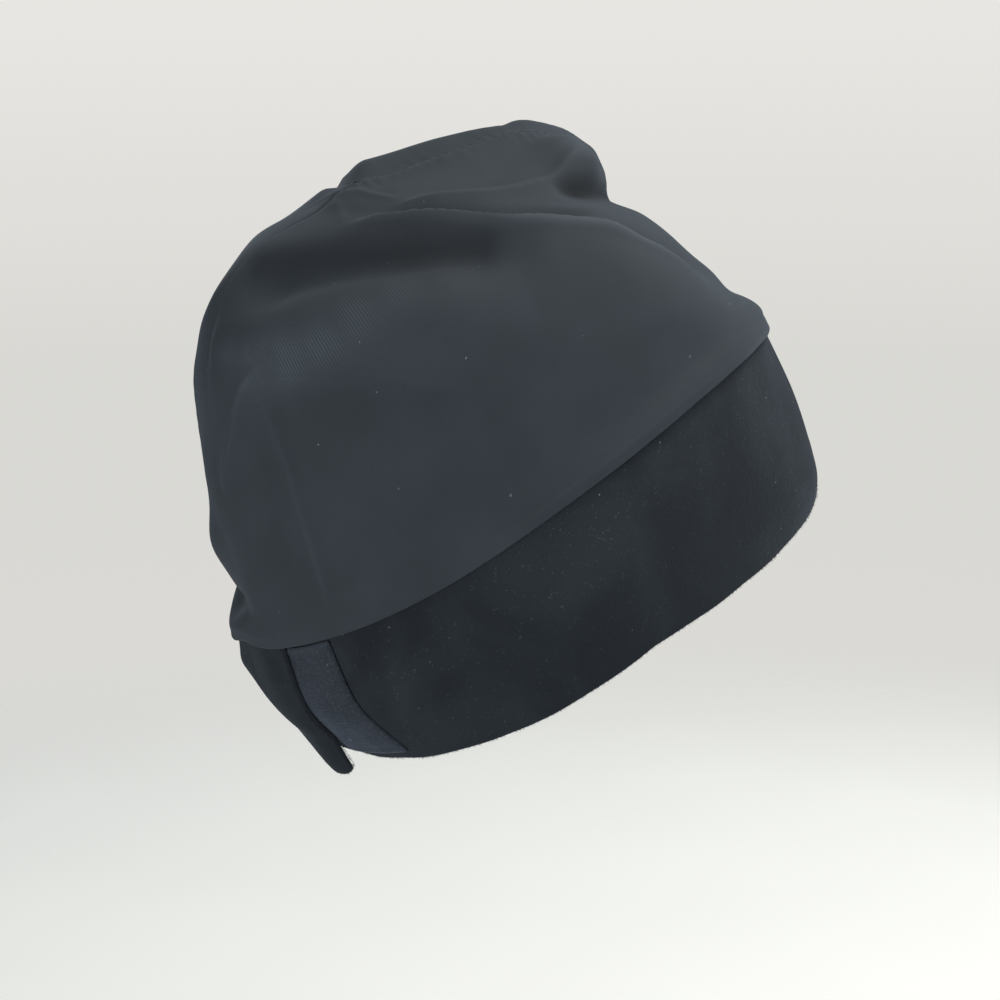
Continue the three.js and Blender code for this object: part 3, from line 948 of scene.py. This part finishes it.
def noise(tree, place, scale, detail=2.0, distortion=0.0):
    """Irregular clouds, 0 to 1, with a scale in clouds to the metre."""
    made = node(tree, "ShaderNodeTexNoise", noise_dimensions="3D")
    values = {"Vector": place, "Scale": scale, "Detail": detail, "Distortion": distortion}
    set_inputs(tree, made, values)
    return made.outputs[0]


def surface(tree, shader, colour, roughness, specular):
    """Gives a shader its colour and how matt it is."""
    values = {"Base Color": colour, "Roughness": roughness, "Specular IOR Level": specular}
    set_inputs(tree, shader, values)


def nap(shader, weight, tint=SHEEN_TINT):
    """Gives a shader the sheen of fine upright fibres."""
    shader.inputs["Sheen Weight"].default_value = weight
    shader.inputs["Sheen Roughness"].default_value = SHEEN_ROUGHNESS
    shader.inputs["Sheen Tint"].default_value = tint


def relief(tree, shader, height, strength, distance):
    """Gives a shader small bumps, with their full height in metres."""
    bump = node(tree, "ShaderNodeBump")
    set_inputs(tree, bump, {"Strength": strength, "Distance": distance, "Height": height})
    tree.links.new(bump.outputs[0], shader.inputs["Normal"])


def sine_lines(tree, coordinates, direction, pitch):
    """Even lines across the cloth, 0 to 1, at right angles to a direction."""
    along = node(tree, "ShaderNodeVectorMath", operation="DOT_PRODUCT", in_1=direction)
    tree.links.new(coordinates, along.inputs[0])
    turn = product(tree, along.outputs["Value"], 2 * math.pi / pitch)
    return math_node(tree, "MULTIPLY_ADD", math_node(tree, "SINE", turn), 0.5, 0.5)


def blend(tree, factor, first, second):
    """Mixes two colours. Each is a colour or the output of a node."""
    mix = node(tree, "ShaderNodeMix", data_type="RGBA", clamp_factor=True)
    set_inputs(tree, mix, {0: factor, 6: first, 7: second})
    return mix.outputs[2]


def math_node(tree, operation, *values):
    """Arithmetic on values or the outputs of nodes."""
    made = node(tree, "ShaderNodeMath", operation=operation)
    set_inputs(tree, made, dict(enumerate(values)))
    return made.outputs[0]


def product(tree, first, second):
    return math_node(tree, "MULTIPLY", first, second)


def step_range(tree, value, low, high, to_low=0.0, to_high=1.0):
    """From one value to another, smoothly, as the input goes from low to high."""
    made = node(tree, "ShaderNodeMapRange", interpolation_type="SMOOTHSTEP")
    set_inputs(tree, made, {0: value, 1: low, 2: high, 3: to_low, 4: to_high})
    return made.outputs[0]


def lint(tree, coordinates, cell, largest, share):
    """Sparse specks of lint, 0 to 1, up to the largest radius and at most one to a cell."""
    spots = node(tree, "ShaderNodeTexVoronoi", voronoi_dimensions="2D", feature="F1")
    set_inputs(tree, spots, {"Vector": coordinates, "Scale": 1 / cell})
    chance = node(tree, "ShaderNodeSeparateColor")
    tree.links.new(spots.outputs["Color"], chance.inputs[0])
    size = product(tree, chance.outputs[0], largest / cell)
    inside = math_node(tree, "LESS_THAN", spots.outputs["Distance"], size)
    kept = math_node(tree, "GREATER_THAN", chance.outputs[1], 1 - share)
    return product(tree, inside, kept)


def shade(colour, factor):
    """A colour made lighter or darker, with its alpha."""
    return (colour[0] * factor, colour[1] * factor, colour[2] * factor, 1)


def knit_material(sizes):
    """Matt stretch knit with slanting lines, fine loops and sparse lint, and painted highlights and
    shade along its folds.
    """
    material, tree, shader = new_material("black stretch knit")
    colour = tuple(sizes.knit_colour)
    uv = cloth_place(tree)
    place = object_place(tree)
    show = mesh_values(tree, "weave_show")
    lighter = mesh_values(tree, "lighter")
    across = (math.cos(WEAVE_SLANT), math.sin(WEAVE_SLANT), 0)
    slant = sine_lines(tree, uv, across, sizes.weave_pitch)
    grain = noise(tree, place, 2600)
    mottled = step_range(tree, noise(tree, place, 34, 3), 0.3, 0.7)
    broken = step_range(tree, noise(tree, place, 90), 0.35, 0.6, 0.6, 1.0)
    lines = product(tree, slant, product(tree, show, broken))
    knit = blend(tree, mottled, shade(colour, 0.92), shade(colour, 1.08))
    # Painted highlights along the folds' crests and painted shade in their hollows, from the mesh's
    # lighter values.
    knit = blend(tree, step_range(tree, lighter, 0.0, 1.0), knit, shade(colour, 2.4))
    knit = blend(tree, step_range(tree, lighter, 0.0, -1.0), knit, shade(colour, 0.0))
    knit = blend(tree, product(tree, show, 0.2), knit, shade(colour, 0.5))
    knit = blend(tree, lines, knit, shade(colour, 2.7))
    knit = blend(tree, product(tree, grain, 0.35), knit, shade(colour, 0.7))
    specks = product(tree, lint(tree, uv, 0.024, 0.00042, 0.5), 0.6)
    knit = blend(tree, specks, knit, (0.16, 0.17, 0.18, 1))
    surface(tree, shader, knit, 0.82, 0.18)
    nap(shader, 0.1)
    relief(tree, shader, math_node(tree, "MULTIPLY_ADD", grain, 0.6, lines), 0.55, 0.00012)
    return material


def velvet_material(sizes):
    """Deep velvet: a nap that lies in drifts and catches light at its edges, with painted glints
    where its pile catches the light.
    """
    material, tree, shader = new_material("black velvet")
    colour = tuple(sizes.velvet_colour)
    uv = cloth_place(tree)
    place = object_place(tree)
    drifts = step_range(tree, noise(tree, place, 22, 3, 0.6), 0.35, 0.68)
    pile = noise(tree, place, 1500)
    tufts = noise(tree, place, 420)
    # Painted glints: tiny spots of the colour lightened where the pile catches the light, in tufts
    # and more on the lighter drifts.
    painted_glints = step_range(tree, pile, 0.6, 0.74)
    painted_glints = product(tree, painted_glints, step_range(tree, tufts, 0.45, 0.65))
    painted_glints = product(tree, painted_glints, math_node(tree, "MULTIPLY_ADD", drifts, 0.6, 0.25))
    velvet = blend(tree, drifts, shade(colour, 0.8), shade(colour, 1.25))
    velvet = blend(tree, painted_glints, velvet, shade(colour, 4.2))
    specks = product(tree, lint(tree, uv, 0.012, 0.0003, 0.3), 0.8)
    velvet = blend(tree, specks, velvet, (0.17, 0.18, 0.2, 1))
    surface(tree, shader, velvet, 0.95, 0.08)
    nap(shader, 0.1)
    relief(tree, shader, math_node(tree, "MULTIPLY_ADD", tufts, 0.8, pile), 0.4, 0.0004)
    return material


def patch_material(name, colour, pitch, sheen):
    """Fastener cloth: a flat brushed pile in close rows, with a painted highlight along its edges.
    """
    material, tree, shader = new_material(name)
    uv = cloth_place(tree)
    place = object_place(tree)
    fuzz = noise(tree, place, 1100, 3)
    worn = step_range(tree, noise(tree, place, 70), 0.35, 0.65)
    rows = sine_lines(tree, uv, (0, 1, 0), pitch)
    # Painted highlight: the colour lightened along the patch's edges, where they catch the light.
    rim = product(tree, mesh_values(tree, "rim"), 0.8)
    pile = blend(tree, worn, shade(colour, 0.88), shade(colour, 1.12))
    pile = blend(tree, rim, pile, shade(colour, 1.5))
    pile = blend(tree, step_range(tree, fuzz, 0.45, 0.75, 0, 0.7), pile, shade(colour, 2.0))
    specks = product(tree, lint(tree, uv, 0.009, 0.0006, 0.35), 0.7)
    pile = blend(tree, specks, pile, (0.13, 0.14, 0.17, 1))
    surface(tree, shader, pile, 0.9, 0.15)
    nap(shader, sheen, (0.7, 0.8, 1, 1))
    relief(tree, shader, math_node(tree, "MULTIPLY_ADD", rows, 0.12, fuzz), 0.6, 0.0003)
    return material


def pile_material(sizes):
    """Single velvet fibres, a little lighter than the cloth they stand on."""
    material, tree, shader = new_material("velvet pile")
    colour = tuple(sizes.velvet_colour)
    uneven = noise(tree, object_place(tree), 900)
    mixed = blend(tree, uneven, shade(colour, 0.9), shade(colour, 2.0))
    surface(tree, shader, mixed, 0.9, 0.1)
    return material


def thread_material():
    """Twisted black sewing thread."""
    material, tree, shader = new_material("black thread")
    twist = sine_lines(tree, object_place(tree), (0.3, 0.8, 0.52), 0.0004)
    mixed = blend(tree, twist, (0.022, 0.025, 0.03, 1), (0.06, 0.066, 0.075, 1))
    surface(tree, shader, mixed, 0.6, 0.5)
    return material


def floor_material():
    """Pale seamless paper that fades out before the backdrop."""
    material, tree, shader = new_material("pale floor")
    place = object_place(tree)
    reach = node(tree, "ShaderNodeVectorMath", operation="LENGTH")
    tree.links.new(place, reach.inputs[0])
    fade = step_range(tree, reach.outputs["Value"], 0.62, 0.98, 1.0, 0.0)
    mottled = noise(tree, place, 9)
    paper = blend(tree, mottled, (0.86, 0.85, 0.8, 1), (0.9, 0.885, 0.84, 1))
    surface(tree, shader, paper, 0.9, 0.1)
    set_inputs(tree, shader, {"Alpha": fade, "Emission Color": paper, "Emission Strength": 0.14})
    return material


def backdrop_material():
    """The pale wall behind, a little lighter towards the top."""
    material, tree, _ = new_material("pale backdrop")
    tree.nodes.clear()
    output = tree.nodes.new("ShaderNodeOutputMaterial")
    glow = tree.nodes.new("ShaderNodeEmission")
    parts = node(tree, "ShaderNodeSeparateXYZ")
    tree.links.new(object_place(tree), parts.inputs[0])
    height = node(tree, "ShaderNodeMapRange", in_1=-1.2, in_2=0.4)
    tree.links.new(parts.outputs["Z"], height.inputs[0])
    ramp = node(tree, "ShaderNodeValToRGB")
    low, high = ramp.color_ramp.elements
    low.color = (0.716, 0.708, 0.679, 1)
    high.color = (0.84, 0.823, 0.791, 1)
    ramp.color_ramp.elements.new(0.5).color = (0.69, 0.685, 0.655, 1)
    tree.links.new(height.outputs[0], ramp.inputs[0])
    tree.links.new(ramp.outputs[0], glow.inputs["Color"])
    tree.links.new(glow.outputs[0], output.inputs["Surface"])
    return material


def area_light(name, place, size, power, colour):
    """A soft square light at a place in metres, aimed at the cap."""
    light = bpy.data.lights.new(name, "AREA")
    light.shape = "SQUARE"
    light.size = size
    light.energy = power
    light.color = colour
    lamp = linked(name, light)
    lamp.location = place
    aim = Vector(LIGHT_AIM) - Vector(place)
    lamp.rotation_euler = aim.to_track_quat("-Z", "Y").to_euler()


def soft_room(sizes):
    """Light from all round, strongest from the front and weakest from the upper back."""
    world = bpy.data.worlds.new("soft room")
    world.use_nodes = True
    tree = world.node_tree
    direction = node(tree, "ShaderNodeTexCoord").outputs["Generated"]
    ahead = node(tree, "ShaderNodeVectorMath", operation="DOT_PRODUCT", in_1=(-0.35, -0.8, -0.5))
    tree.links.new(direction, ahead.inputs[0])
    share = step_range(tree, ahead.outputs["Value"], -0.9, 0.5, 0.28, 1.0)
    strength = product(tree, share, sizes.room_light)
    values = {"Color": (0.76, 0.9, 1.0, 1), "Strength": strength}
    set_inputs(tree, tree.nodes["Background"], values)
    return world


def studio(sizes):
    """Pale floor, backdrop, soft studio lights, and the camera at the picture's angle."""
    bpy.ops.object.select_all(action="DESELECT")
    bpy.ops.mesh.primitive_circle_add(
        vertices=96, radius=FLOOR_RADIUS, fill_type="NGON", location=(0, 0, 0)
    )
    floor = bpy.context.object
    floor.name = "pale_floor"
    for vertex in floor.data.vertices:
        vertex.co.z = -sizes.floor_drop
    floor.data.materials.append(floor_material())
    bpy.ops.mesh.primitive_uv_sphere_add(
        segments=64, ring_count=32, radius=BACKDROP_RADIUS, location=(0, 0, 0)
    )
    backdrop = bpy.context.object
    backdrop.name = "pale_backdrop"
    backdrop.data.materials.append(backdrop_material())
    for flag in ("visible_diffuse", "visible_glossy", "visible_transmission", "visible_shadow"):
        setattr(backdrop, flag, False)
    floor.visible_diffuse = False
    bpy.ops.object.select_all(action="DESELECT")
    bpy.context.scene.world = soft_room(sizes)
    area_light("top softbox", (-0.35, -0.5, 1.1), 0.7, sizes.top_light, (1.0, 0.98, 0.95))
    area_light("front window", (-0.75, -1.1, 0.4), 0.9, sizes.front_light, (0.98, 0.97, 1.0))
    area_light("back fill", (-0.7, 1.2, -0.2), 0.7, sizes.back_light, (0.97, 0.98, 1.0))
    turn = math.radians(CAMERA_TURN)
    rise = math.radians(CAMERA_RISE)
    level = math.cos(rise)
    back = Vector((math.sin(turn) * level, -math.cos(turn) * level, math.sin(rise)))
    camera = linked("camera", bpy.data.cameras.new("camera"))
    camera.data.lens = CAMERA_LENS
    camera.data.sensor_width = CAMERA_SENSOR
    camera.data.clip_start = 0.01
    camera.location = (Vector(AIM) + back * CAMERA_DISTANCE) * MM
    camera.rotation_euler = (-back).to_track_quat("-Z", "Y").to_euler()
    bpy.context.scene.camera = camera
    bpy.context.scene.view_settings.view_transform = "Standard"


class CapSizes(bpy.types.PropertyGroup):
    """Sizes, colours and light that a user would change."""

    knit_thickness: FloatProperty(
        name="Knit thickness",
        description="Thickness of the crown's knit",
        default=0.001,
        unit="LENGTH",
    )
    velvet_thickness: FloatProperty(
        name="Velvet thickness",
        description="Thickness of the band",
        default=0.0022,
        unit="LENGTH",
    )
    weave_pitch: FloatProperty(
        name="Line pitch",
        description="Distance between the knit's slanting lines",
        default=0.0009,
        unit="LENGTH",
        precision=5,
    )
    pile_length: FloatProperty(
        name="Pile length",
        description="How far the velvet's pile stands out at its edges",
        default=0.0006,
        unit="LENGTH",
        precision=5,
    )
    band_step: FloatProperty(
        name="Band step",
        description="Distance between the band's mesh lines",
        default=0.0015,
        unit="LENGTH",
        precision=5,
    )
    crown_columns: IntProperty(
        name="Crown columns",
        description="Mesh columns round each crown panel",
        default=230,
    )
    crown_rows: IntProperty(
        name="Crown rows",
        description="Mesh rows up each crown panel",
        default=170,
    )
    knit_colour: FloatVectorProperty(
        name="Knit colour",
        description="Colour of the crown",
        subtype="COLOR",
        default=(0.032, 0.038, 0.044),
    )
    velvet_colour: FloatVectorProperty(
        name="Velvet colour",
        description="Colour of the band",
        subtype="COLOR",
        default=(0.02, 0.0235, 0.027),
    )
    patch_colour: FloatVectorProperty(
        name="Patch colour",
        description="Colour of the loop patch",
        subtype="COLOR",
        default=(0.025, 0.029, 0.036),
    )
    floor_drop: FloatProperty(
        name="Floor drop",
        description="How far the floor lies below the origin",
        default=0.3,
        unit="LENGTH",
    )
    room_light: FloatProperty(
        name="Room light",
        description="Strength of the light from all round",
        default=0.49,
    )
    top_light: FloatProperty(
        name="Top light",
        description="Power of the softbox overhead, in watts",
        default=16.0,
    )
    front_light: FloatProperty(
        name="Front light",
        description="Power of the light at the front, in watts",
        default=7.0,
    )
    back_light: FloatProperty(
        name="Back light",
        description="Power of the light at the back, in watts",
        default=13.0,
    )


def finished(piece, material, slot, *nodes):
    """Gives a piece its material and its place in the frame."""
    piece.data.materials.clear()
    piece.data.materials.append(material)
    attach(piece, "root")
    if nodes:
        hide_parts(*nodes)


class CAP_OT_knit_crown(bpy.types.Operator):
    """Builds both knit panels of the crown."""

    bl_idname = "cap.knit_crown"
    bl_label = "Knit crown"

    def execute(self, context):
        sizes = context.scene.cap_sizes
        material = knit_material(sizes)
        finished(crown_panel(1, RIGHT_FOLDS, sizes), material, "knit", "crown_right_panel")
        finished(crown_panel(-1, LEFT_FOLDS, sizes), material, "knit", "crown_left_panel")
        return {"FINISHED"}


class CAP_OT_seam_thread(bpy.types.Operator):
    """Sews the seam between the two panels."""

    bl_idname = "cap.seam_thread"
    bl_label = "Seam thread"

    def execute(self, context):
        finished(seam_thread(), thread_material(), "knit")
        return {"FINISHED"}


class CAP_OT_velvet_band(bpy.types.Operator):
    """Builds the velvet band and the pile along its edges."""

    bl_idname = "cap.velvet_band"
    bl_label = "Velvet band"

    def execute(self, context):
        sizes = context.scene.cap_sizes
        strap, outer, out = velvet_strap(sizes)
        finished(strap, velvet_material(sizes), "velvet", "velvet_band")
        finished(edge_pile(outer, out, sizes), pile_material(sizes), "velvet")
        return {"FINISHED"}


class CAP_OT_closure(bpy.types.Operator):
    """Builds the two fastener patches of the closure."""

    bl_idname = "cap.closure"
    bl_label = "Closure patches"

    def execute(self, context):
        sizes = context.scene.cap_sizes
        colour = tuple(sizes.patch_colour)
        height = GAP + PATCH_CLOTH
        loop = patch_sheet(LOOP_PATCH, height, "loop_patch_cloth", LOOP_CURL)
        material = patch_material("loop pile", colour, 0.0011, 0.3)
        finished(loop, material, "loop_pile", "loop_patch")
        hook = patch_sheet(HOOK_PATCH, 2 * height, "hook_patch_tape", 0.0)
        material = patch_material("hook tape", shade(colour, 0.7), 0.0014, 0.1)
        finished(hook, material, "hook_tape", "hook_patch")
        return {"FINISHED"}


class CAP_OT_stage(bpy.types.Operator):
    """Sets up the floor, the backdrop, the lights and the camera."""

    bl_idname = "cap.stage"
    bl_label = "Studio"

    def execute(self, context):
        studio(context.scene.cap_sizes)
        return {"FINISHED"}


class CAP_PT_parts(bpy.types.Panel):
    """Lists the cap's sizes and the steps that build it."""

    bl_idname = "CAP_PT_parts"
    bl_label = "Grip cap"
    bl_space_type = "VIEW_3D"
    bl_region_type = "UI"
    bl_category = "Grip cap"

    def draw(self, context):
        sizes = context.scene.cap_sizes
        for name in CapSizes.__annotations__:
            self.layout.prop(sizes, name)
        for step in STEPS:
            self.layout.operator(step.bl_idname)


STEPS = (CAP_OT_knit_crown, CAP_OT_seam_thread, CAP_OT_velvet_band, CAP_OT_closure, CAP_OT_stage)
CLASSES = (CapSizes,) + STEPS + (CAP_PT_parts,)


def register():
    for kind in CLASSES:
        bpy.utils.register_class(kind)
    bpy.types.Scene.cap_sizes = PointerProperty(type=CapSizes)


def unregister():
    del bpy.types.Scene.cap_sizes
    for kind in reversed(CLASSES):
        bpy.utils.unregister_class(kind)


def main():
    register()
    bpy.ops.cap.knit_crown()
    bpy.ops.cap.seam_thread()
    bpy.ops.cap.velvet_band()
    bpy.ops.cap.closure()
    bpy.ops.cap.stage()


if __name__ == "__main__":
    main()
